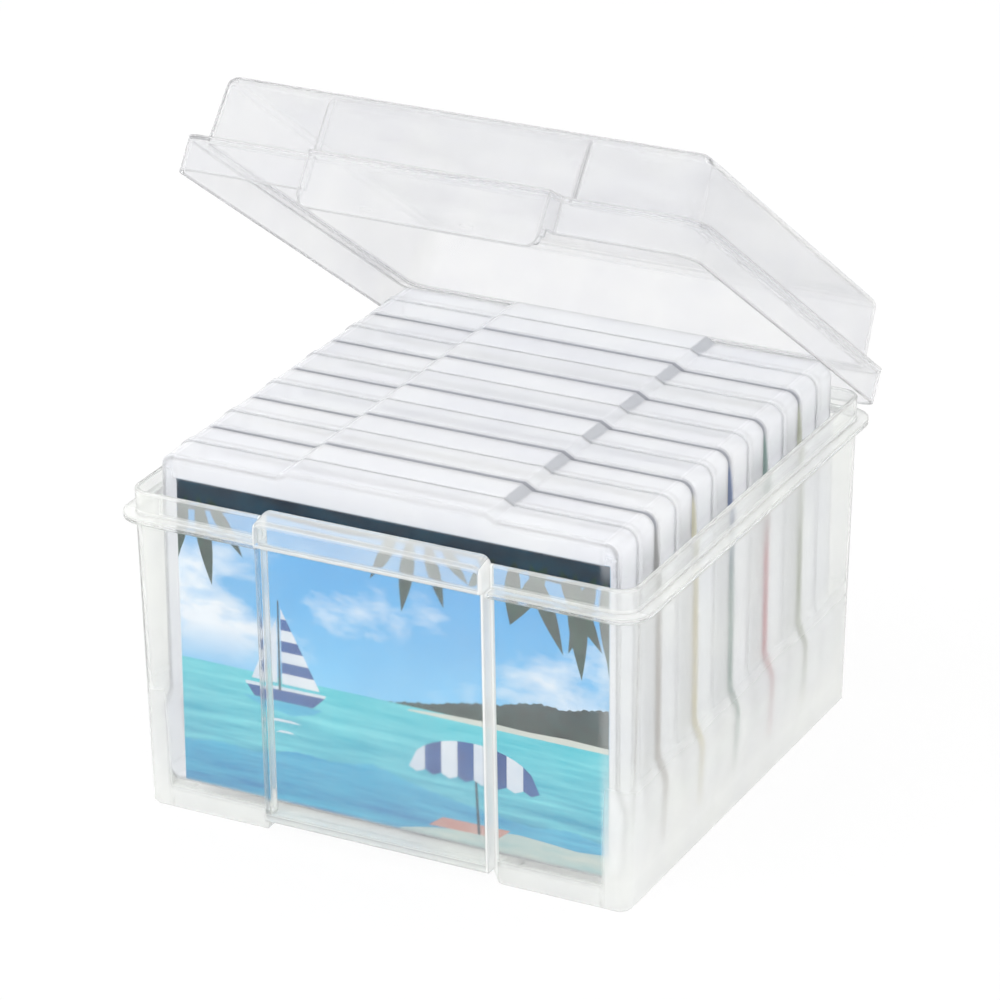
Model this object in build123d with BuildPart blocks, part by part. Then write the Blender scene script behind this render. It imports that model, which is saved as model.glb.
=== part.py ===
"""Photo keeper case: a lidded tub on two runners that holds six snap cases of prints.

Frame: +X to the right, +Y to the back, +Z up, millimetres. The origin lies on the
surface that the runners stand on, under the middle of the box as it stands half open.
"""

import os
from math import radians, tan

from build123d import *

# ---- prints ---------------------------------------------------------------
print_w = 177.8  # long side of a print
print_h = 124.0  # short side of a print
stack_t = 25.0  # about a hundred prints
print_shift = 1.2  # the stacks lie a little to the right in their cases
print_seat = 0.3  # running gap between a stack and the case round it

# ---- snap cases -----------------------------------------------------------
case_count = 6
case_wall = 1.3
case_side_room = 3.9  # beside a centred stack
case_head_room = 8.0  # over a stack, for a fingertip
case_thick_room = 3.6  # behind a stack
case_gap = 0.28  # between neighbouring cases
case_lip = 0.5  # how far the parting lip stands out from the case's sides
case_lip_t = 3.2
cover_share_t = 15.4  # thickness of the front half
foot_out = 3.64  # how far the lower sides stand out past the upper ones
foot_h = 29.0  # height of the wide lower sides
foot_lean = 1.2  # how far they draw in towards the bottom
shoulder_h = 9.0  # height of the S-shaped shoulder over them
bridge_w = 82.0  # raised middle of the case's top
bridge_ramp = 3.8  # run of the slope at each end of it
bridge_h = 2.15
case_foot_cut = 4.0  # bevel at the bottom corners
case_shoulder_r = 9.0
case_top_r = 5.5
case_edge = 2.0  # bevel round the outer faces
bridge_edge = 1.6

# ---- tub ------------------------------------------------------------------
tub_wall = 1.8
tub_draft = 1.34  # degrees a side
tub_foot_r = 5.0  # corner radius at the bottom
case_play = 0.74  # beside the cases' feet, at the floor
end_play = 3.74  # before and behind the row of cases, at the floor
case_proud = 13.3  # how far the cases stand above the rim
runner_h = 6.5
runner_gap_top = 46.2  # half the channel's width at its ceiling
runner_gap_foot = 49.0  # half the channel's width where it meets the ground
runner_edge = 1.0  # bevel round the runners' undersides
runner_root_r = 1.5
rim_h = 9.2  # rim above the ledge
rim_edge = 0.5
ledge_t = 2.0
ledge_out = 4.2
ledge_r = 11.5
panel_half = 46.9
panel_out = 4.8  # front panel, proud of the rim's face
panel_foot = 6.8
catch_out = 6.9  # catch band, proud of the rim's face
catch_drop = 1.5  # fall of the band's top from the raised rim to its front edge
catch_edge = 1.0  # bevel along the band's front edge
catch_corner_r = 4.0
centre_rim_h = 2.9  # raised rim over the catch

# ---- lid ------------------------------------------------------------------
lid_open = 35.12  # degrees, as it stands
lid_wall = 1.5
lid_seat_gap = 0.1
lid_side_gap = 0.8
flange_h = 13.9
flange_r = 9.0
step_in = 5.7  # from the flange's face to the foot of the upper wall
crown_h = 26.4
crown_draft = 3.25
crown_r = 7.0
crown_edge_r = 4.5
crown_bevel = 2.0  # inside, along the same edge
crest_half = 53.0  # raised panel on the front of the crown
crest_out = 1.5
crest_h = 20.0
crest_bevel = 3.4
flap_half = 48.9
flap_flare = 2.6
flap_out = 7.1  # front of the flap, proud of the flange
flap_lean = 0.5
flap_drop = 7.9  # how far the flap hangs below the flange
flap_return = 2.9  # how far the flap's side walls go behind its front wall
flap_corner_r = 5.0
nub_x = 20.0
nub_drop = 4.3
nub_w = 5.0
nub_r = 0.8
nub_out = 0.35

# ---- hinges ---------------------------------------------------------------
hinge_x = 60.0
hinge_out = 4.46  # axis, behind the rim's face
hinge_drop = 12.25  # axis, below the ledge
axle_r = 2.0
axle_gap = 0.05
barrel_r = 3.4
arm_w = 18.0
arm_drop = 2.0  # the arms' tops, below the flange's top
arm_t = 2.4
arm_gap = 0.4
lug_t = 2.4
lug_r = 4.2
lug_drop = 9.0

# ---- working allowance ----------------------------------------------------
overcut = 1.0  # how far a cut runs past the face it opens

# ---- place in the part's frame --------------------------------------------
tub_y = -10.0  # the tub's middle

# ---- derived sizes --------------------------------------------------------
case_t = stack_t + case_thick_room + 2 * case_wall + print_seat
case_pitch = case_t + case_gap
row_d = case_count * case_t + (case_count - 1) * case_gap
row_front = tub_y - row_d / 2
case_half = print_w / 2 + case_side_room + case_wall
foot_half = case_half + foot_out
floor_z = runner_h + tub_wall
case_z = floor_z + case_lip
case_top = case_z + case_wall + print_seat + print_h + case_head_room + case_wall
rim_z = case_top - case_proud
ledge_z = rim_z - rim_h


def spread(z):
    """How far the drafted wall has moved out at height z, from z = 0."""
    return z * tan(radians(tub_draft))


tub_x0 = foot_half + case_lip + case_play + tub_wall - spread(floor_z)
tub_y0 = row_d / 2 + end_play + tub_wall - spread(floor_z)
rim_x = tub_x0 + spread(rim_z)
rim_y = tub_y0 + spread(rim_z)
flange_z = ledge_z + lid_seat_gap
flange_top = flange_z + flange_h
flange_x = rim_x + lid_side_gap + lid_wall
flange_y = rim_y + lid_side_gap + lid_wall
hinge_y = rim_y + hinge_out  # measured from the tub's middle
hinge_z = ledge_z - hinge_drop
arm_y = flange_y - lid_wall / 2  # the arms' front faces, sunk in the flange's back wall
lug_centres = [s * hinge_x + t * (arm_w / 2 + arm_gap + lug_t / 2)
               for s in (-1, 1) for t in (-1, 1)]


def level(z):
    """Horizontal plane over the tub's middle."""
    return Plane((0, tub_y, z))


def side(x):
    """Upright plane facing +X: its x runs back from the tub's middle, its y up."""
    return Plane((x, tub_y, 0), x_dir=(0, 1, 0), z_dir=(1, 0, 0))


def drafted(half_x, half_y, radius, z0, z1, draft, mode=Mode.ADD):
    """Rounded block between two heights whose sides lean out by draft degrees."""
    with BuildSketch(level(z0)) as outline:
        RectangleRounded(2 * half_x, 2 * half_y, radius)
    extrude(outline.sketch, amount=z1 - z0, taper=-draft, mode=mode)


def bar(points, half, mode=Mode.ADD, centre=0.0):
    """Prism along X whose section is a polygon of (back, up) points."""
    with BuildSketch(side(centre)) as section:
        with BuildLine():
            Polyline(*points, close=True)
        make_face()
    extrude(section.sketch, amount=half, both=True, mode=mode)


def channel(widen, ceiling, mode):
    """Raised channel between the runners, open at both ends."""
    low, high = runner_gap_foot + widen, runner_gap_top + widen
    with BuildSketch(Plane.XZ.offset(-tub_y)) as section:
        with BuildLine():
            Polyline((-low, -overcut), (-low, 0), (-high, ceiling), (high, ceiling), (low, 0),
                     (low, -overcut), close=True)
        make_face()
        fillet(section.vertices().group_by(Axis.Y)[-1], runner_root_r)
    extrude(section.sketch, amount=2 * tub_y0, both=True, mode=mode)


# ---- tub ------------------------------------------------------------------
panel_y = -(rim_y + panel_out)
catch_y = -(rim_y + catch_out)
centre_rim_z = rim_z + centre_rim_h
catch_top = centre_rim_z - catch_drop
panel_lean = spread(ledge_z) - spread(panel_foot)

with BuildPart() as tub_cavity:
    drafted(tub_x0 + spread(tub_wall) - tub_wall, tub_y0 + spread(tub_wall) - tub_wall,
            tub_foot_r - tub_wall, tub_wall, rim_z + centre_rim_h + overcut, tub_draft)
    channel(tub_wall, floor_z, Mode.SUBTRACT)
    bar([(panel_y + tub_wall + panel_lean, panel_foot + tub_wall),
         (panel_y + tub_wall, ledge_z), (0, ledge_z), (0, panel_foot + tub_wall)],
        panel_half - tub_wall)
    bar([(panel_y + tub_wall, ledge_z - tub_wall), (catch_y + tub_wall, ledge_z + tub_wall),
         (catch_y + tub_wall, catch_top - tub_wall),
         (-rim_y, centre_rim_z - tub_wall), (0, centre_rim_z - tub_wall),
         (0, ledge_z - tub_wall)], panel_half - tub_wall)

with BuildPart() as catch:
    bar([(catch_y, ledge_z), (catch_y, catch_top), (-rim_y, centre_rim_z),
         (tub_wall - rim_y, centre_rim_z), (tub_wall - rim_y, ledge_z)], panel_half)
    ends = catch.faces().filter_by(Axis.X)
    fillet([e for end in ends for e in end.edges().sort_by(Axis.Z)[-2:]], catch_corner_r)
    front = catch.faces().sort_by(Axis.Y)[0]
    chamfer(front.edges().sort_by(Axis.Z)[-3:], catch_edge)

with BuildPart() as base_tub:
    drafted(tub_x0, tub_y0, tub_foot_r, 0, rim_z, tub_draft)
    channel(0, runner_h, Mode.SUBTRACT)
    chamfer(base_tub.faces().filter_by(Axis.Z).group_by(Axis.Z)[0].edges(), runner_edge)
    chamfer(base_tub.faces().filter_by(Axis.Z).group_by(Axis.Z)[-1].edges(), rim_edge)
    with BuildSketch(level(ledge_z - ledge_t)) as ledge:
        RectangleRounded(2 * (rim_x + ledge_out), 2 * (rim_y + ledge_out), ledge_r)
    extrude(amount=ledge_t)
    bar([(panel_y + panel_lean, panel_foot), (panel_y, ledge_z), (0, ledge_z),
         (0, panel_foot)], panel_half)
    add(catch.part)
    add(tub_cavity.part, mode=Mode.SUBTRACT)
    # Hinge lugs under the ledge, in pairs, with the holes that the lid's axles turn in.
    for x in lug_centres:
        with BuildSketch(side(x)) as lug:
            with Locations((hinge_y, hinge_z)):
                Circle(lug_r)
            with BuildLine():
                Polyline((rim_y - spread(rim_z - ledge_z) - tub_wall / 2, ledge_z - ledge_t / 2),
                         (hinge_y, ledge_z - ledge_t / 2), (hinge_y + lug_r, hinge_z),
                         (hinge_y, hinge_z - lug_r),
                         (rim_y - spread(rim_z - hinge_z + lug_drop) - tub_wall / 2,
                          hinge_z - lug_drop), close=True)
            make_face()
            with Locations((hinge_y, hinge_z)):
                Circle(axle_r + axle_gap, mode=Mode.SUBTRACT)
        extrude(amount=lug_t / 2, both=True)
    # Notches in the ledge for the lid's arms.
    for x in (-hinge_x, hinge_x):
        bar([(arm_y - arm_gap, ledge_z - ledge_t - overcut),
             (arm_y - arm_gap, ledge_z + overcut),
             (rim_y + ledge_out + overcut, ledge_z + overcut),
             (rim_y + ledge_out + overcut, ledge_z - ledge_t - overcut)],
            arm_w / 2 + arm_gap, Mode.SUBTRACT, x)


# ---- lid, drawn closed and then swung open --------------------------------
crown_x = flange_x - step_in
crown_y = flange_y - step_in
lid_top = flange_top + crown_h
flap_y = -(flange_y + flap_out)
flap_foot = flange_z - flap_drop
crest_y = -(crown_y + crest_out)


def lean(z):
    """How far the crown's walls have drawn in at height z."""
    return (z - flange_top) * tan(radians(crown_draft))


def flap_section(inset, back, z):
    """Plan of the flap at height z: straight front, sides that flare to the flange."""
    front = flap_y + inset - flap_lean * (flange_top - z) / (flange_top - flap_foot)
    half = flap_half - inset
    root = half + flap_flare
    with BuildSketch(level(z)) as plan:
        with BuildLine():
            Polyline((-half, front), (half, front), (root, back), (-root, back), close=True)
        make_face()
    return plan.sketch


with BuildPart() as lid_cavity:
    drafted(flange_x - lid_wall, flange_y - lid_wall, flange_r - lid_wall, flange_z - overcut,
            flange_top - lid_wall, 0)
    drafted(crown_x - lid_wall + lean(flange_top), crown_y - lid_wall, crown_r - lid_wall,
            flange_top - lid_wall - overcut, lid_top - lid_wall, -crown_draft)
    chamfer(lid_cavity.faces().filter_by(Axis.Z).group_by(Axis.Z)[-1].edges(), crown_bevel)
    bar([(crest_y + lid_wall, flange_top - lid_wall - overcut),
         (crest_y + lid_wall + lean(flange_top + crest_h), flange_top + crest_h),
         (-crown_y + lid_wall + lean(flange_top + crest_h + crest_bevel),
          flange_top + crest_h + crest_bevel),
         (0, flange_top + crest_h + crest_bevel), (0, flange_top - lid_wall - overcut)],
        crest_half - lid_wall)
    loft([flap_section(lid_wall, -flange_y + 2 * lid_wall, flange_top - lid_wall),
          flap_section(lid_wall, -flange_y + 2 * lid_wall, flap_foot - overcut)])

with BuildPart() as lid:
    drafted(flange_x, flange_y, flange_r, flange_z, flange_top, 0)
    drafted(crown_x, crown_y, crown_r, flange_top - lid_wall / 2, lid_top, -crown_draft)
    fillet(lid.faces().filter_by(Axis.Z).group_by(Axis.Z)[-1].edges(), crown_edge_r)
    bar([(crest_y, flange_top - lid_wall),
         (crest_y + lean(flange_top + crest_h), flange_top + crest_h),
         (-crown_y + lean(flange_top + crest_h + crest_bevel),
          flange_top + crest_h + crest_bevel),
         (0, flange_top + crest_h + crest_bevel), (0, flange_top - lid_wall)], crest_half)
    loft([flap_section(0, -flange_y + lid_wall, flange_top),
          flap_section(0, -flange_y + lid_wall, flap_foot)])
    # Below the flange only the flap's front wall and short side returns hang down.
    bar([(flap_y + flap_return, flap_foot - overcut), (flap_y + flap_return, flange_z),
         (0, flange_z), (0, flap_foot - overcut)], flap_half + flap_flare + overcut,
        Mode.SUBTRACT)
    add(lid_cavity.part, mode=Mode.SUBTRACT)
    # Rounded lower corners of the flap.
    with BuildSketch(Plane.XZ.offset(-(tub_y + flap_y + flap_return))):
        with Locations((0, flap_foot + flap_corner_r)):
            Rectangle(2 * (flap_half + flap_flare), flap_corner_r + overcut,
                      align=(Align.CENTER, Align.MAX))
        with Locations((0, flap_foot)):
            RectangleRounded(2 * flap_half, flap_drop + flap_corner_r, flap_corner_r,
                             align=(Align.CENTER, Align.MIN), mode=Mode.SUBTRACT)
    extrude(amount=flap_return + flap_lean + overcut, mode=Mode.SUBTRACT)
    # Nubs inside the flap that snap under the catch band.
    for x in (-nub_x, nub_x):
        with BuildSketch(side(x)) as nub:
            with Locations((flap_y + lid_wall - flap_lean + nub_out - nub_r,
                            flange_z - nub_drop)):
                Circle(nub_r)
        extrude(amount=nub_w / 2, both=True)
    # Hinge arms on the flange's back wall, each with a stub axle at both sides.
    for x in (-hinge_x, hinge_x):
        bar([(arm_y, hinge_z), (arm_y, flange_top - arm_drop),
             (arm_y + lid_wall / 2 + arm_t, flange_top - arm_drop - arm_t),
             (arm_y + lid_wall / 2 + arm_t, hinge_z)], arm_w / 2, centre=x)
        with BuildSketch(side(x)) as barrel:
            with Locations((hinge_y, hinge_z)):
                Circle(barrel_r)
        extrude(amount=arm_w / 2, both=True)
        with BuildSketch(side(x)) as axle:
            with Locations((hinge_y, hinge_z)):
                Circle(axle_r)
        extrude(amount=arm_w / 2 + arm_gap + lug_t, both=True)

hinge_axis = Axis((0, tub_y + hinge_y, hinge_z), (-1, 0, 0))
open_lid = lid.part.rotate(hinge_axis, lid_open)
open_lid.label = "lid"

# ---- snap cases -----------------------------------------------------------


def case_outline(y, grow=0.0, bridge=False):
    """Face of a case at depth y, grown by an amount, with or without the raised middle."""
    foot_z = case_z + foot_h
    right = [(foot_half - foot_lean - case_foot_cut, case_z),
             (foot_half - foot_lean, case_z + case_foot_cut), (foot_half, foot_z),
             (case_half, foot_z + shoulder_h), (case_half, case_top)]
    radii = [0, 0, case_shoulder_r, case_shoulder_r, case_top_r]
    if bridge:
        right += [(bridge_w / 2 + bridge_ramp, case_top), (bridge_w / 2, case_top + bridge_h)]
        radii += [0, 0]
    left = [(-x, z) for x, z in reversed(right)]
    with BuildSketch(Plane.XZ.offset(-y)) as outline:
        with BuildLine():
            FilletPolyline(*right, *left, radius=radii + radii[::-1], close=True)
        make_face()
        if grow:
            offset(amount=grow, kind=Kind.INTERSECTION, mode=Mode.REPLACE)
    return outline.sketch


def bridge_block(front, back, bevelled):
    """Raised middle of a case's top between two depths, bevelled at one of its ends."""
    right = [(bridge_w / 2 + bridge_ramp, case_top - case_edge),
             (bridge_w / 2 + bridge_ramp, case_top), (bridge_w / 2, case_top + bridge_h)]
    left = [(-x, z) for x, z in reversed(right)]
    with BuildPart() as block:
        with BuildSketch(Plane.XZ.offset(-front)):
            with BuildLine():
                Polyline(*right, *left, close=True)
            make_face()
        extrude(amount=front - back)
        end = block.faces().sort_by(Axis.Y)[0 if bevelled == front else -1]
        chamfer(end.edges().sort_by(Axis.Z)[-3:], bridge_edge)
    return block.part


cover_back = row_front + cover_share_t
case_back = row_front + case_t

with BuildPart() as cover:
    extrude(case_outline(row_front), amount=-cover_share_t)
    chamfer(cover.faces().sort_by(Axis.Y)[0].edges(), case_edge)
    add(bridge_block(row_front, cover_back, row_front))
    extrude(case_outline(row_front + case_wall, -case_wall, True), amount=-cover_share_t,
            mode=Mode.SUBTRACT)

with BuildPart() as tray:
    extrude(case_outline(cover_back), amount=-(case_t - cover_share_t))
    chamfer(tray.faces().sort_by(Axis.Y)[-1].edges(), case_edge)
    add(bridge_block(cover_back, case_back, case_back))
    extrude(case_outline(cover_back, case_lip), amount=-case_lip_t)
    extrude(case_outline(cover_back, -case_wall, True),
            amount=-(case_t - cover_share_t - case_wall), mode=Mode.SUBTRACT)

# ---- prints ---------------------------------------------------------------
with BuildPart() as prints:
    with BuildSketch(Plane.XZ.offset(-(row_front + case_wall + print_seat))):
        with Locations((print_shift, case_z + case_wall + print_seat + print_h / 2)):
            Rectangle(print_w, print_h)
    extrude(amount=-stack_t)

# ---- export ---------------------------------------------------------------
base_tub.part.label = "base_tub"

os.makedirs("parts", exist_ok=True)
export_step(base_tub.part, "parts/base_tub.step")
export_step(open_lid, "parts/lid.step")
for number in range(case_count):
    for piece, kind in ((cover, "cover"), (tray, "tray"), (prints, "prints")):
        copy = piece.part.moved(Location((0, number * case_pitch, 0)))
        copy.label = f"case_{number + 1}_{kind}"
        export_step(copy, f"parts/{copy.label}.step")
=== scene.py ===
"""Photo keeper case: looks of the clear tub, its hinged lid and the six filled print cases."""
import math

import bpy
from mathutils import Matrix, Vector
from mathutils.geometry import delaunay_2d_cdt


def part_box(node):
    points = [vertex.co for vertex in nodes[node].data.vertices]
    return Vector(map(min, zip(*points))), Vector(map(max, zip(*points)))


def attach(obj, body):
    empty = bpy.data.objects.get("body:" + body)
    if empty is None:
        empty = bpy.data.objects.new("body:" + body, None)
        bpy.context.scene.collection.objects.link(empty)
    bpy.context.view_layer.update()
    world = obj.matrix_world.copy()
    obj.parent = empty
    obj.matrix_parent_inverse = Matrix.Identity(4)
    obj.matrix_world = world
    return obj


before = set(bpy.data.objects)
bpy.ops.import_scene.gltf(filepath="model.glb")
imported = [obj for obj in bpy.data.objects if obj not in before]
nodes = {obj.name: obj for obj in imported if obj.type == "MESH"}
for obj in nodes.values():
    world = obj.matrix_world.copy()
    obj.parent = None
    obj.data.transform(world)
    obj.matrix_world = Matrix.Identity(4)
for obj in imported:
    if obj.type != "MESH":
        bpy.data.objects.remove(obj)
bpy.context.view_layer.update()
scene = bpy.context.scene


def mm(*values):
    """A point given in millimetres, in metres."""
    return Vector(values) / 1000


# ---------------------------------------------------------------- camera
AZIMUTH, ELEVATION, ROLL = map(math.radians, (27.12, 23.90, -0.35))
CAMERA_PLACE = (763.5, -1503.9, 848.8)
LENS, SENSOR = 173.9, 36

ahead = Vector((-math.sin(AZIMUTH) * math.cos(ELEVATION),
                math.cos(AZIMUTH) * math.cos(ELEVATION),
                -math.sin(ELEVATION)))
level = Vector((math.cos(AZIMUTH), math.sin(AZIMUTH), 0))
above = level.cross(ahead)
right = math.cos(ROLL) * level + math.sin(ROLL) * above
up = math.cos(ROLL) * above - math.sin(ROLL) * level
camera = bpy.data.objects.new("camera", bpy.data.cameras.new("camera"))
scene.collection.objects.link(camera)
camera.data.sensor_width = SENSOR
camera.data.lens = LENS
camera.data.clip_start, camera.data.clip_end = 0.05, 20
camera.matrix_world = Matrix.LocRotScale(
    mm(*CAMERA_PLACE), Matrix((right, up, -ahead)).transposed(), None)
scene.camera = camera
scene.view_settings.view_transform = "Standard"


# ---------------------------------------------------------------- node helpers
class Nodes:
    """Short calls for building a material's or a world's node tree."""

    def __init__(self, owner):
        owner.use_nodes = True
        self.tree = owner.node_tree
        self.tree.nodes.clear()

    def plug(self, node, sockets):
        """Give each input a value, or link it to another node's output."""
        for key, value in dict(sockets).items():
            if isinstance(value, bpy.types.NodeSocket):
                self.tree.links.new(value, node.inputs[key])
            else:
                node.inputs[key].default_value = value
        return node

    def add(self, kind, sockets=(), **settings):
        node = self.tree.nodes.new(kind)
        for key, value in settings.items():
            setattr(node, key, value)
        return self.plug(node, sockets)

    def maths(self, operation, a, b=0.0):
        return self.add("ShaderNodeMath", {0: a, 1: b}, operation=operation).outputs[0]

    def both(self, a, b):
        """Where both masks hold."""
        return self.maths("MULTIPLY", a, b)

    def near(self, value, middle, reach):
        """1 within reach of the middle, 0 elsewhere."""
        return self.add("ShaderNodeMath", {0: value, 1: middle, 2: reach},
                        operation="COMPARE").outputs[0]

    def noise(self, where, scale, detail=2.0, rough=0.5):
        return self.add("ShaderNodeTexNoise",
                        {"Vector": where, "Scale": scale, "Detail": detail,
                         "Roughness": rough}).outputs[0]

    def stretched(self, where, scales, detail, rough):
        """Noise with a scale of its own along each axis."""
        spread = self.add("ShaderNodeVectorMath", {0: where, 1: scales},
                          operation="MULTIPLY").outputs[0]
        return self.noise(spread, 1.0, detail, rough)

    def remap(self, value, low, high, to_low, to_high):
        return self.add("ShaderNodeMapRange",
                        {0: value, 1: low, 2: high, 3: to_low, 4: to_high}).outputs[0]

    def blend(self, factor, a, b):
        node = self.add("ShaderNodeMix", data_type="RGBA")
        return self.plug(node, {0: factor, 6: a, 7: b}).outputs[2]

    def place(self):
        """A point in the piece's own frame, and its three coordinates."""
        where = self.add("ShaderNodeTexCoord").outputs["Object"]
        return where, self.add("ShaderNodeSeparateXYZ", {0: where}).outputs

    def out(self, shader, kind="ShaderNodeOutputMaterial"):
        self.add(kind, {"Surface": shader})


# ---------------------------------------------------------------- clear plastic
# Painted shade: the grey that the seams between cases are painted at the cases' tops.
SEAM_SHADE_GREY = (0.42, 0.43, 0.47, 1)
# Painted shade: the grey painted on the slope of a case's top that faces away from the light.
RAMP_SHADE_GREY = (0.42, 0.44, 0.48, 1)
MOST_MILK = 0.92  # the rest always lets light through
LONG_PATH = 5.5  # bounces after which a ray goes straight on
FADE_IN, FADE_OUT = 0.002, 0.003  # how softly a milk zone starts and ends sideways

# The tub's catch band and the upright edges of its front panel, in metres.
BAND_FRONT, BAND_FOOT, BAND_MILK = -0.1085, 0.1205, 0.17
EDGE_AT, EDGE_HALF, EDGE_FRONT, EDGE_MILK = 0.0469, 0.0011, -0.106, 0.85

# Painted light in the seams between cases: a print's colour, painted on a case's clear wall close
# behind its front edge where the wall carries light from the print, and painted grey shade at the
# top. Where it shows, how deep it is low down and high up, and the heights between which it
# changes colour and turns to painted grey shade.
SEAM_SIDE, SEAM_TOP = 0.0895, 0.1385
SEAM_NARROWS, SEAM_DEPTHS = (0.125, 0.138), (0.0024, 0.0013)
SEAM_CHANGES, SEAM_SHADE_HEIGHTS = (0.085, 0.115), (0.134, 0.139)
SEAM_MILK = 0.8

# The slope at the right end of the raised middle of a case's top, which faces away from the
# light: it gets painted shade, a grey and some milk.
RAMP_AT, RAMP_HALF, RAMP_FOOT = 0.0429, 0.0021, 0.139
RAMP_SHADE_SHARE, RAMP_SHADE_MILK = 0.6, 0.3


def zone_milk(n, place, out, axis, start, full, amount, reach=None):
    """Milk that comes in between two places; clear_plastic says how it is given."""
    milk = n.remap(out if axis == 0 else place[axis], start / 1000, full / 1000, 0.0, amount)
    if reach:
        inner, outer = (r / 1000 for r in reach)
        milk = n.both(milk, n.remap(out, inner - FADE_IN, inner, 0.0, 1.0))
        milk = n.both(milk, n.remap(out, outer, outer + FADE_OUT, 1.0, 0.0))
    return milk


def catch_milk(n, place, out):
    """Milk of the catch band, and of the panel's upright edges below it."""
    above_foot = n.maths("GREATER_THAN", place[2], BAND_FOOT)
    band = n.both(n.maths("LESS_THAN", place[1], BAND_FRONT), above_foot)
    edge = n.both(n.near(out, EDGE_AT, EDGE_HALF), n.maths("LESS_THAN", place[1], EDGE_FRONT))
    edge = n.both(edge, n.maths("MAXIMUM", n.maths("GREATER_THAN", place[0], 0.0), above_foot))
    return n.maths("ADD", n.both(band, BAND_MILK), n.both(edge, EDGE_MILK))


def seam_light_mask(n, place, out, front):
    """Where a print's front shows through, close behind the case's front face: the strip that gets
    the painted light.
    """
    shows = n.maths("MAXIMUM", n.maths("GREATER_THAN", out, SEAM_SIDE),
                    n.maths("GREATER_THAN", place[2], SEAM_TOP))
    depth = n.maths("DIVIDE", n.maths("SUBTRACT", place[1], front),
                    n.remap(place[2], *SEAM_NARROWS, *SEAM_DEPTHS))
    return n.both(shows, n.remap(depth, 0.7, 1.2, 1.0, 0.0))


def clear_plastic(name, tint, haze, rough, ior, edge_haze, edge, zones=(), seam_light=None,
                  shade_ramp=False, catch=False):
    """Moulded polypropylene: clear, faintly cloudy, milkier along its edges, with flow marks.

    haze is the milk all through, and edge_haze what an edge rounded to edge millimetres adds.
    zones are (axis, from, to, milk) in millimetres: milk comes in from the first place to
    the second. Axis 0 is taken both ways from the middle, and one more pair of numbers keeps
    a zone between two distances from it. A seam is (colour below, colour above, front): painted
    light, a print's colour painted on the case's clear wall close behind its front edge at the
    sides, where the wall carries light from the print, and painted grey shade at the top. The
    ramp flag paints grey shade on the slope of a case's top that faces away from the light,
    and catch clouds the tub's catch band and panel edges.
    """
    material = bpy.data.materials.new(name)
    n = Nodes(material)
    where, place = n.place()
    out = n.maths("ABSOLUTE", place[0])
    cloud = n.noise(where, 22.0, 3.0, 0.55)
    ripple = n.noise(where, 60.0)
    rounded = n.add("ShaderNodeBevel", {"Radius": edge / 1000}, samples=4).outputs[0]
    bump = n.add("ShaderNodeBump", {"Strength": 0.02, "Distance": 0.002, "Height": ripple,
                                    "Normal": rounded}).outputs[0]
    gloss = n.remap(cloud, 0.3, 0.7, rough * 0.6, rough * 1.5)
    flat = n.add("ShaderNodeNewGeometry").outputs["Normal"]
    agree = n.add("ShaderNodeVectorMath", {0: rounded, 1: flat},
                  operation="DOT_PRODUCT").outputs["Value"]
    milk = n.maths("ADD", n.remap(cloud, 0.3, 0.7, haze * 0.7, haze * 1.3),
                   n.remap(agree, 0.99, 0.8, 0.0, edge_haze))
    for zone in zones:
        milk = n.maths("ADD", milk, zone_milk(n, place, out, *zone))
    if catch:
        milk = n.maths("ADD", milk, catch_milk(n, place, out))

    dull = tuple(0.94 * c for c in tint[:2]) + (0.965 * tint[2], 1)
    mottle = n.remap(n.noise(where, 34.0, 4.0, 0.6), 0.35, 0.7, 0.0, 0.7)
    colour = n.blend(mottle, tint, dull)
    # Painted light: the print's colour painted on the clear wall near the front edge at the sides,
    # turning to painted grey shade at the top.
    if seam_light:
        below, above, front = seam_light
        mask = seam_light_mask(n, place, out, front)
        run = n.blend(n.remap(place[2], *SEAM_CHANGES, 0.0, 1.0), below, above)
        run = n.blend(n.remap(place[2], *SEAM_SHADE_HEIGHTS, 0.0, 1.0), run, SEAM_SHADE_GREY)
        colour = n.blend(mask, colour, run)
        milk = n.maths("ADD", milk, n.both(mask, SEAM_MILK))
    # Painted shade: the slope that faces away from the light is painted grey and made milkier.
    if shade_ramp:
        slope = n.both(n.near(place[0], RAMP_AT, RAMP_HALF),
                       n.maths("GREATER_THAN", place[2], RAMP_FOOT))
        colour = n.blend(n.both(slope, RAMP_SHADE_SHARE), colour, RAMP_SHADE_GREY)
        milk = n.maths("ADD", milk, n.both(slope, RAMP_SHADE_MILK))

    clear = n.maths("SUBTRACT", 1.0, n.maths("MINIMUM", milk, MOST_MILK))
    body = n.add("ShaderNodeBsdfPrincipled",
                 {"Base Color": colour, "Roughness": gloss, "IOR": ior, "Normal": bump,
                  "Transmission Weight": clear}).outputs[0]
    # Shadow rays and long paths go straight through, so that the inside stays light.
    rays = n.add("ShaderNodeLightPath").outputs
    straight = n.maths("MAXIMUM", rays["Is Shadow Ray"],
                       n.maths("GREATER_THAN", rays["Ray Depth"], LONG_PATH))
    through = n.add("ShaderNodeBsdfTransparent", {"Color": (0.98, 0.982, 0.985, 1)}).outputs[0]
    n.out(n.add("ShaderNodeMixShader", {0: straight, 1: body, 2: through}).outputs[0])
    return material


def dress(node, material):
    """The node's material slots all take this material."""
    mesh = nodes[node].data
    mesh.materials.clear()
    mesh.materials.append(material)


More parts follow.
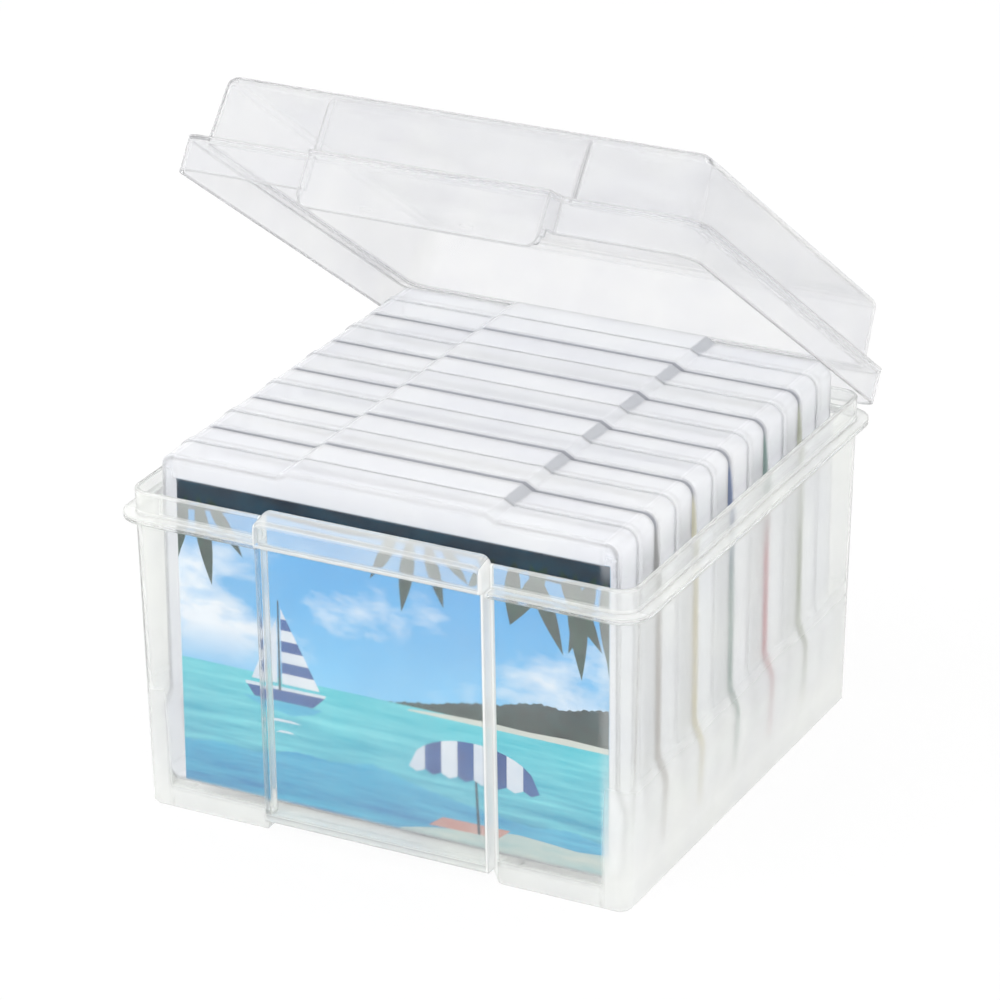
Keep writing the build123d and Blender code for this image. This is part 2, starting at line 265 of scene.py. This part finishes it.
dress("base_tub", clear_plastic(
    "tub_plastic", (0.990, 0.998, 0.976, 1), haze=0.06, rough=0.14, ior=1.22, edge_haze=0.5,
    edge=1.3, catch=True,
    zones=((2, 60.0, 12.0, 0.45, (92.0, 120.0)),  # the sides, low down
           (2, 11.0, 7.5, 0.5, (0.0, 89.0)),  # the strip under the prints
           (2, 129.4, 129.8, 0.15),  # the rim's top
           (2, 120.3, 120.8, 0.32), (2, 122.4, 122.9, -0.32),  # the ledge
           (0, 89.0, 92.0, 0.10))))  # the side walls
dress("lid", clear_plastic(
    "lid_plastic", (0.932, 0.934, 0.936, 1), haze=0.15, rough=0.12, ior=1.14, edge_haze=0.8,
    edge=1.6))

# Each case's print: its colour low down and high up, and the tint of its paper edges.
PRINTS = {
    1: ((0.05, 0.30, 0.42, 1), (0.25, 0.50, 0.70, 1), (0.86, 0.88, 0.90, 1)),
    2: ((0.30, 0.25, 0.20, 1), (0.42, 0.42, 0.42, 1), (0.88, 0.87, 0.82, 1)),
    3: ((0.62, 0.53, 0.26, 1), (0.72, 0.70, 0.56, 1), (0.80, 0.84, 0.84, 1)),
    4: ((0.03, 0.17, 0.12, 1), (0.22, 0.27, 0.41, 1), (0.90, 0.84, 0.86, 1)),
    5: ((0.50, 0.03, 0.06, 1), (0.30, 0.40, 0.38, 1), (0.86, 0.87, 0.84, 1)),
    6: ((0.24, 0.28, 0.16, 1), (0.56, 0.58, 0.48, 1), (0.88, 0.88, 0.82, 1)),
}
CASE_TINT = (0.985, 0.991, 1.0, 1)
CASE_LOOK = {"rough": 0.10, "ior": 1.2, "edge_haze": 0.15, "edge": 2.6}

for k, (low, high, _) in PRINTS.items():
    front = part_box(f"case_{k}_cover")[0][1]
    # The top, its rounded ends, and the sides from just behind the front wall.
    cloudy = ((2, 134.4, 135.4, 0.5, (0.0, 86.0)), (2, 126.0, 148.0, 0.42, (88.0, 120.0)),
              (1, front * 1000 + 1.3, front * 1000 + 1.7, 0.30, (89.4, 120.0)))
    dress(f"case_{k}_cover", clear_plastic(
        f"case_{k}_cover_plastic", CASE_TINT, haze=0.015, zones=cloudy,
        seam_light=(low, high, front) if k > 1 else None, **CASE_LOOK))
    dress(f"case_{k}_tray", clear_plastic(
        f"case_{k}_tray_plastic", CASE_TINT, haze=0.05, zones=cloudy, shade_ramp=True, **CASE_LOOK))


# ---------------------------------------------------------------- stacks of prints
PAPER_WHITE = (0.88, 0.885, 0.90, 1)
SHEETS_SCALE = 2600.0  # makes the stack's sides look like many sheets
FACE_DEPTH = 0.0004  # how far behind its front a stack still shows the picture


def paper_stack(name, box, low, high, tint):
    """A stack of glossy prints: a blurred scene on the front one, white paper edges."""
    material = bpy.data.materials.new(name)
    n = Nodes(material)
    where, place = n.place()
    along = n.add("ShaderNodeCombineXYZ", {1: place[1]}).outputs[0]
    sheets = n.remap(n.noise(along, SHEETS_SCALE, 1.0), 0.42, 0.62, 0.0, 0.5)
    edge = n.blend(sheets, PAPER_WHITE, tint)
    blotch = n.remap(n.noise(where, 38.0, 4.0, 0.6), 0.3, 0.7, -0.35, 0.35)
    height = n.remap(place[2], box[0][2], box[1][2], 0.0, 1.0)
    scenery = n.blend(n.remap(n.maths("ADD", height, blotch), 0.35, 0.65, 0.0, 1.0), low, high)
    face = n.maths("LESS_THAN", place[1], box[0][1] + FACE_DEPTH)
    n.out(n.add("ShaderNodeBsdfPrincipled",
                {"Base Color": n.blend(face, edge, scenery), "Roughness": 0.4}).outputs[0])
    return material


for k, (low, high, tint) in PRINTS.items():
    name = f"case_{k}_prints"
    dress(name, paper_stack(f"prints_{k}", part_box(name), low, high, tint))


# ---------------------------------------------------------------- the front print
# A made-up view across a bay, in millimetres across and up the print: the outlines of
# its parts, back to front, are cut into one flat mesh, and each part has its own ink.
PRINT_W, PRINT_H = 177.8, 124.0  # as much of it as shows
PRINT_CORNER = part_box("case_1_prints")[0]
PRINT_AHEAD = 0.00008  # how far the picture lies before the stack
CLOUD_WHITE = (0.86, 0.91, 0.95, 1)
CLOUD_SCALES = (17, 17, 34)
CLOUD_RISE, CLOUD_FALL = 18, 22  # how softly the clouds start and end upwards


def ink(name, low, high, from_v, to_v, mottle, stretch, strength, cloud=None):
    """Printed colour: a fade between two heights, mottled by stretched noise.

    cloud is the heights between which white clouds lie over it.
    """
    material = bpy.data.materials.new("print_" + name)
    n = Nodes(material)
    where, place = n.place()
    height = n.maths("SUBTRACT", place[2], PRINT_CORNER[2])
    colour = n.blend(n.remap(height, from_v / 1000, to_v / 1000, 0.0, 1.0), low, high)
    grain = n.stretched(where, stretch, 4.0, 0.6)
    colour = n.blend(n.remap(grain, 0.35, 0.7, 0.0, strength), colour, mottle)
    if cloud:
        base, top = cloud
        here = n.both(n.remap(height, base / 1000, (base + CLOUD_RISE) / 1000, 0.0, 1.0),
                      n.remap(height, (top - CLOUD_FALL) / 1000, top / 1000, 1.0, 0.0))
        puff = n.remap(n.stretched(where, CLOUD_SCALES, 6.0, 0.55), 0.46, 0.60, 0.0, 1.0)
        colour = n.blend(n.both(puff, here), colour, CLOUD_WHITE)
    n.out(n.add("ShaderNodeBsdfPrincipled",
                {"Base Color": colour, "Roughness": 0.35,
                 "Specular IOR Level": 0.2}).outputs[0])
    return material


def leaf(u, v, length, width, angle, steps=8):
    """Outline of a hanging pointed leaf from its stalk end."""
    turn = math.radians(angle)
    points = []
    for side, run in ((1, range(0, steps + 1)), (-1, range(steps - 1, 0, -1))):
        for i in run:
            t = i / steps
            across = side * width / 2 * math.sin(math.pi * t ** 0.8)
            along = -length * t
            points.append((u + across * math.cos(turn) - along * math.sin(turn),
                           v + across * math.sin(turn) + along * math.cos(turn)))
    return points


def ridge(u0, u1, base, heights, rough=0.0, fine=8):
    """Outline of a strip with an uneven top, from evenly spaced heights, roughened."""
    count = (len(heights) - 1) * fine
    top = []
    for i in range(count + 1):
        whole = min(i // fine, len(heights) - 2)
        part = i / fine - whole
        height = heights[whole] * (1 - part) + heights[whole + 1] * part
        height += rough * (math.sin(i * 2.399) + 0.6 * math.sin(i * 5.13 + 1.7))
        top.append((u0 + i * (u1 - u0) / count, base + max(0.2, height)))
    return [(u0, base), (u1, base)] + top[::-1]


def fan(u, v, reach, squat, share0, share1):
    """One panel of a parasol's dome, between two shares of its width."""
    def across(share):
        return u + reach * (2 * share - 1)

    top = [(across(s), v + squat * math.sqrt(max(0.0, 1 - (2 * s - 1) ** 2)))
           for s in (share0, (share0 + share1) / 2, share1)]
    hem = [(across(share0), v), (u + reach * (share0 + share1 - 1), v - 1.6),
           (across(share1), v)]
    peak = [(u, v + squat + 1.0)] if share0 < 0.5 <= share1 else []
    return hem + peak + top[::-1]


# Each ink: colours low and high, the heights between, mottling, its scales and strength.
INKS = {
    "sky": ink("sky", (0.22, 0.60, 0.90, 1), (0.03, 0.33, 0.74, 1), 50, 118,
               (0.08, 0.46, 0.84, 1), (9, 9, 22), 0.4, (50, 112)),
    "bay": ink("bay", (0.01, 0.24, 0.44, 1), (0.02, 0.52, 0.62, 1), 4, 48,
               (0.22, 0.76, 0.80, 1), (22, 22, 330), 0.75),
    "deep": ink("deep", (0.01, 0.20, 0.44, 1), (0.01, 0.37, 0.62, 1), 0, 26,
                (0.10, 0.60, 0.76, 1), (26, 26, 330), 0.65),
    "sand": ink("sand", (0.34, 0.52, 0.52, 1), (0.62, 0.66, 0.60, 1), 0, 50,
                (0.72, 0.70, 0.60, 1), (60, 60, 300), 0.6),
    "far": ink("far", (0.01, 0.045, 0.03, 1), (0.02, 0.07, 0.08, 1), 50, 66,
               (0.002, 0.015, 0.012, 1), (190, 190, 300), 1.0),
    "shade": ink("shade", (0.002, 0.028, 0.055, 1), (0.0, 0.012, 0.03, 1), 108, 124,
                 (0.004, 0.06, 0.10, 1), (60, 60, 220), 0.8),
    "leaf": ink("leaf", (0.012, 0.05, 0.035, 1), (0.003, 0.012, 0.012, 1), 62, 116,
                (0.015, 0.085, 0.05, 1), (240, 240, 90), 0.8),
    "white": ink("white", (0.70, 0.76, 0.82, 1), (0.84, 0.87, 0.90, 1), 0, 90,
                 (0.52, 0.62, 0.74, 1), (50, 50, 90), 0.6),
    "blue": ink("blue", (0.006, 0.04, 0.20, 1), (0.015, 0.09, 0.34, 1), 0, 90,
                (0.03, 0.16, 0.44, 1), (50, 50, 90), 0.6),
    "coral": ink("coral", (0.50, 0.22, 0.19, 1), (0.62, 0.34, 0.28, 1), 0, 60,
                 (0.72, 0.50, 0.42, 1), (70, 70, 90), 0.6),
}
parts = [
    ("sky", [(0, 0), (PRINT_W, 0), (PRINT_W, PRINT_H), (0, PRINT_H)]),
    ("far", ridge(88, PRINT_W, 51, [0.4, 2.2, 3.4, 5.8, 7.6, 8.8, 11.5, 13.2, 12.4, 14.6, 16.2],
                  0.35)),
    ("bay", [(0, 0), (PRINT_W, 0), (PRINT_W, 51.5), (0, 51.5)]),
    ("sand", ridge(96, PRINT_W, 49.6, [0.6, 1.8, 2.4, 2.0, 2.6, 2.2])),
    ("deep", ridge(0, PRINT_W, 0, [17, 19, 18, 22, 21, 24, 20, 17, 15, 13, 15, 12],
                   0.25)),
    ("deep", [(26, 41.4), (60, 41.4), (56, 38.8), (47, 36.4), (34, 38.2)]),
    ("sand", ridge(92, PRINT_W, 0, [0.6, 3.4, 5.2, 7.4, 8.6, 8.0, 7.2, 8.4])),
]

# Sailing boat on the left, with a striped mainsail.
MAST_U, DECK_V = 42.0, 46.0
SAIL_STRIPES, SAIL_FOOT, SAIL_W, SAIL_H = 7, DECK_V + 3, 16, 31
for i in range(SAIL_STRIPES):
    a, b = i / SAIL_STRIPES, (i + 1) / SAIL_STRIPES
    low_v, high_v = SAIL_FOOT + SAIL_H * a, SAIL_FOOT + SAIL_H * b
    stripe = [(MAST_U + 1, low_v), (MAST_U + 1 + SAIL_W * (1 - a), low_v),
              (MAST_U + 1 + SAIL_W * (1 - b), high_v), (MAST_U + 1, high_v)]
    is_tip = i == SAIL_STRIPES - 1
    parts.append(("blue" if i % 2 else "white", stripe[:3] if is_tip else stripe))
parts += [
    ("white", [(MAST_U - 1, DECK_V + 3), (MAST_U - 1, DECK_V + 29), (MAST_U - 12, DECK_V + 3)]),
    ("blue", [(MAST_U - 14, DECK_V), (MAST_U - 11, DECK_V - 4.4), (MAST_U + 14, DECK_V - 4.4),
              (MAST_U + 19, DECK_V + 0.6)]),
    ("white", [(MAST_U - 14.4, DECK_V), (MAST_U + 19, DECK_V + 0.6), (MAST_U + 19.6, DECK_V + 1.8),
               (MAST_U - 14.8, DECK_V + 1.4)]),
    ("shade", [(MAST_U - 0.5, DECK_V), (MAST_U + 0.5, DECK_V), (MAST_U + 0.3, DECK_V + 37),
               (MAST_U - 0.3, DECK_V + 37)]),
    ("white", [(MAST_U - 6, 33), (MAST_U + 9, 33.4), (MAST_U + 5, 34.2), (MAST_U - 2, 34.2)]),
    ("white", [(MAST_U - 2, 28.6), (MAST_U + 6, 28.9), (MAST_U + 4, 29.6), (MAST_U, 29.6)]),
]

# Towel on the sand at the right, and a striped parasol over it.
PARASOL_U, PARASOL_V, PARASOL_HALF, PARASOL_H, PARASOL_PANELS = 123, 27, 27, 15, 8
parts.append(("coral", [(104, 4.4), (133, 5.2), (138, 9.4), (110, 8.8)]))
parts.append(("shade", [(124.4, 5), (125.6, 5), (123.4, 42), (122.6, 42)]))
for i in range(PARASOL_PANELS):
    parts.append(("blue" if i % 2 else "white",
                  fan(PARASOL_U, PARASOL_V, PARASOL_HALF, PARASOL_H,
                      i / PARASOL_PANELS, (i + 1) / PARASOL_PANELS)))

# Shade along the top, and the leaves that hang down out of it.
parts.append(("shade", [(0, PRINT_H), (0, 112), (14, 113.6), (40, 115.4), (70, 114.2), (104, 116.2),
                        (132, 115.0), (158, 113.4), (PRINT_W, 114.6), (PRINT_W, PRINT_H)]))
for u, v, length, width, angle in (
        (4, 118, 30, 6, -12), (9, 119, 36, 6.5, 8), (13, 119, 26, 5.5, 34), (92, 119, 22, 5, -30),
        (98, 119, 30, 6, -8), (104, 119, 26, 5.5, 16), (110, 118, 17, 4.5, 42),
        (172, 119, 34, 7, -18), (164, 119, 42, 8, 4), (153, 119, 30, 7, -30),
        (140, 119, 26, 6.5, -4), (146, 119, 36, 7, 22), (132, 118, 18, 5.5, -38),
        (176, 119, 44, 8, 6), (158, 119, 34, 7.5, 30)):
    parts.append(("leaf", leaf(u, v, length, width, angle)))


def add_mesh(name, points, faces):
    """A mesh object in the scene, its points in metres."""
    mesh = bpy.data.meshes.new(name)
    mesh.from_pydata(points, [], faces)
    piece = bpy.data.objects.new(name, mesh)
    scene.collection.objects.link(piece)
    return piece


def counter_clockwise(outline):
    """The outline run so that its inside lies to the left, as the cutting needs it."""
    area = sum(a[0] * b[1] - b[0] * a[1] for a, b in zip(outline, outline[1:] + outline[:1]))
    return outline if area > 0 else outline[::-1]


def cut_print():
    """The flat mesh of the front print: every outline cut in, the last one on top."""
    points, outlines = [], []
    for _, outline in parts:
        outlines.append(list(range(len(points), len(points) + len(outline))))
        points += [Vector((min(max(u, 0), PRINT_W), min(max(v, 0), PRINT_H)))
                   for u, v in counter_clockwise(outline)]
    points, _, cells, _, _, owners = delaunay_2d_cdt(points, [], outlines, 0, 1e-4)
    kept = [(cell, max(owner)) for cell, owner in zip(cells, owners) if owner]
    front = PRINT_CORNER[1] - PRINT_AHEAD
    piece = add_mesh("print_face",
                     [(PRINT_CORNER[0] + q.x / 1000, front, PRINT_CORNER[2] + q.y / 1000)
                      for q in points], [cell for cell, _ in kept])
    inks = list(INKS)
    for name in inks:
        piece.data.materials.append(INKS[name])
    for face, (_, owner) in zip(piece.data.polygons, kept):
        face.material_index = inks.index(parts[owner][0])
    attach(piece, "case_1")


cut_print()

# ---------------------------------------------------------------- stage
FLOOR_HALF = 4.0
FLOOR_WHITE, FLOOR_GLOW = (0.93, 0.93, 0.93, 1), 1.02
FLOOR_GLOW_SHARE = 0.88  # the rest keeps the object's shadow
WORLD_SEEN, WORLD_LIGHT = 1.0, 0.87

floor = add_mesh("floor", [(-FLOOR_HALF, -FLOOR_HALF, 0), (FLOOR_HALF, -FLOOR_HALF, 0),
                           (FLOOR_HALF, FLOOR_HALF, 0), (-FLOOR_HALF, FLOOR_HALF, 0)],
                 [(0, 1, 2, 3)])
white = bpy.data.materials.new("floor_white")
n = Nodes(white)
seen = n.add("ShaderNodeLightPath").outputs
shown = n.maths("MAXIMUM", seen["Is Camera Ray"],
                n.maths("MAXIMUM", seen["Is Glossy Ray"], seen["Is Transmission Ray"]))
plain = n.add("ShaderNodeBsdfDiffuse", {"Color": FLOOR_WHITE}).outputs[0]
glow = n.add("ShaderNodeEmission", {"Color": (1, 1, 1, 1), "Strength": FLOOR_GLOW}).outputs[0]
n.out(n.add("ShaderNodeMixShader",
            {0: n.both(shown, FLOOR_GLOW_SHARE), 1: plain, 2: glow}).outputs[0])
floor.data.materials.append(white)

scene.world = bpy.data.worlds.new("studio")
n = Nodes(scene.world)
lights = n.add("ShaderNodeLightPath").outputs["Is Diffuse Ray"]
sky = n.add("ShaderNodeBackground",
            {0: (1, 1, 1, 1), 1: n.remap(lights, 0.0, 1.0, WORLD_SEEN, WORLD_LIGHT)}).outputs[0]
n.out(sky, "ShaderNodeOutputWorld")


def softbox(name, place, size, watts, shines=True):
    """A rectangular studio lamp aimed at the tub's middle, in millimetres."""
    light = bpy.data.lights.new(name, "AREA")
    light.shape = "RECTANGLE"
    light.size, light.size_y = size[0] / 1000, size[1] / 1000
    light.energy = watts
    lamp = bpy.data.objects.new(name, light)
    scene.collection.objects.link(lamp)
    lamp.location = mm(*place)
    lamp.rotation_mode = "QUATERNION"
    lamp.rotation_quaternion = (mm(0, 0, 90) - lamp.location).to_track_quat("-Z", "Y")
    lamp.visible_glossy = shines


softbox("key", (-900, -900, 1300), (1400, 1000), 7, shines=False)
softbox("side", (1300, -500, 700), (1100, 1100), 3)
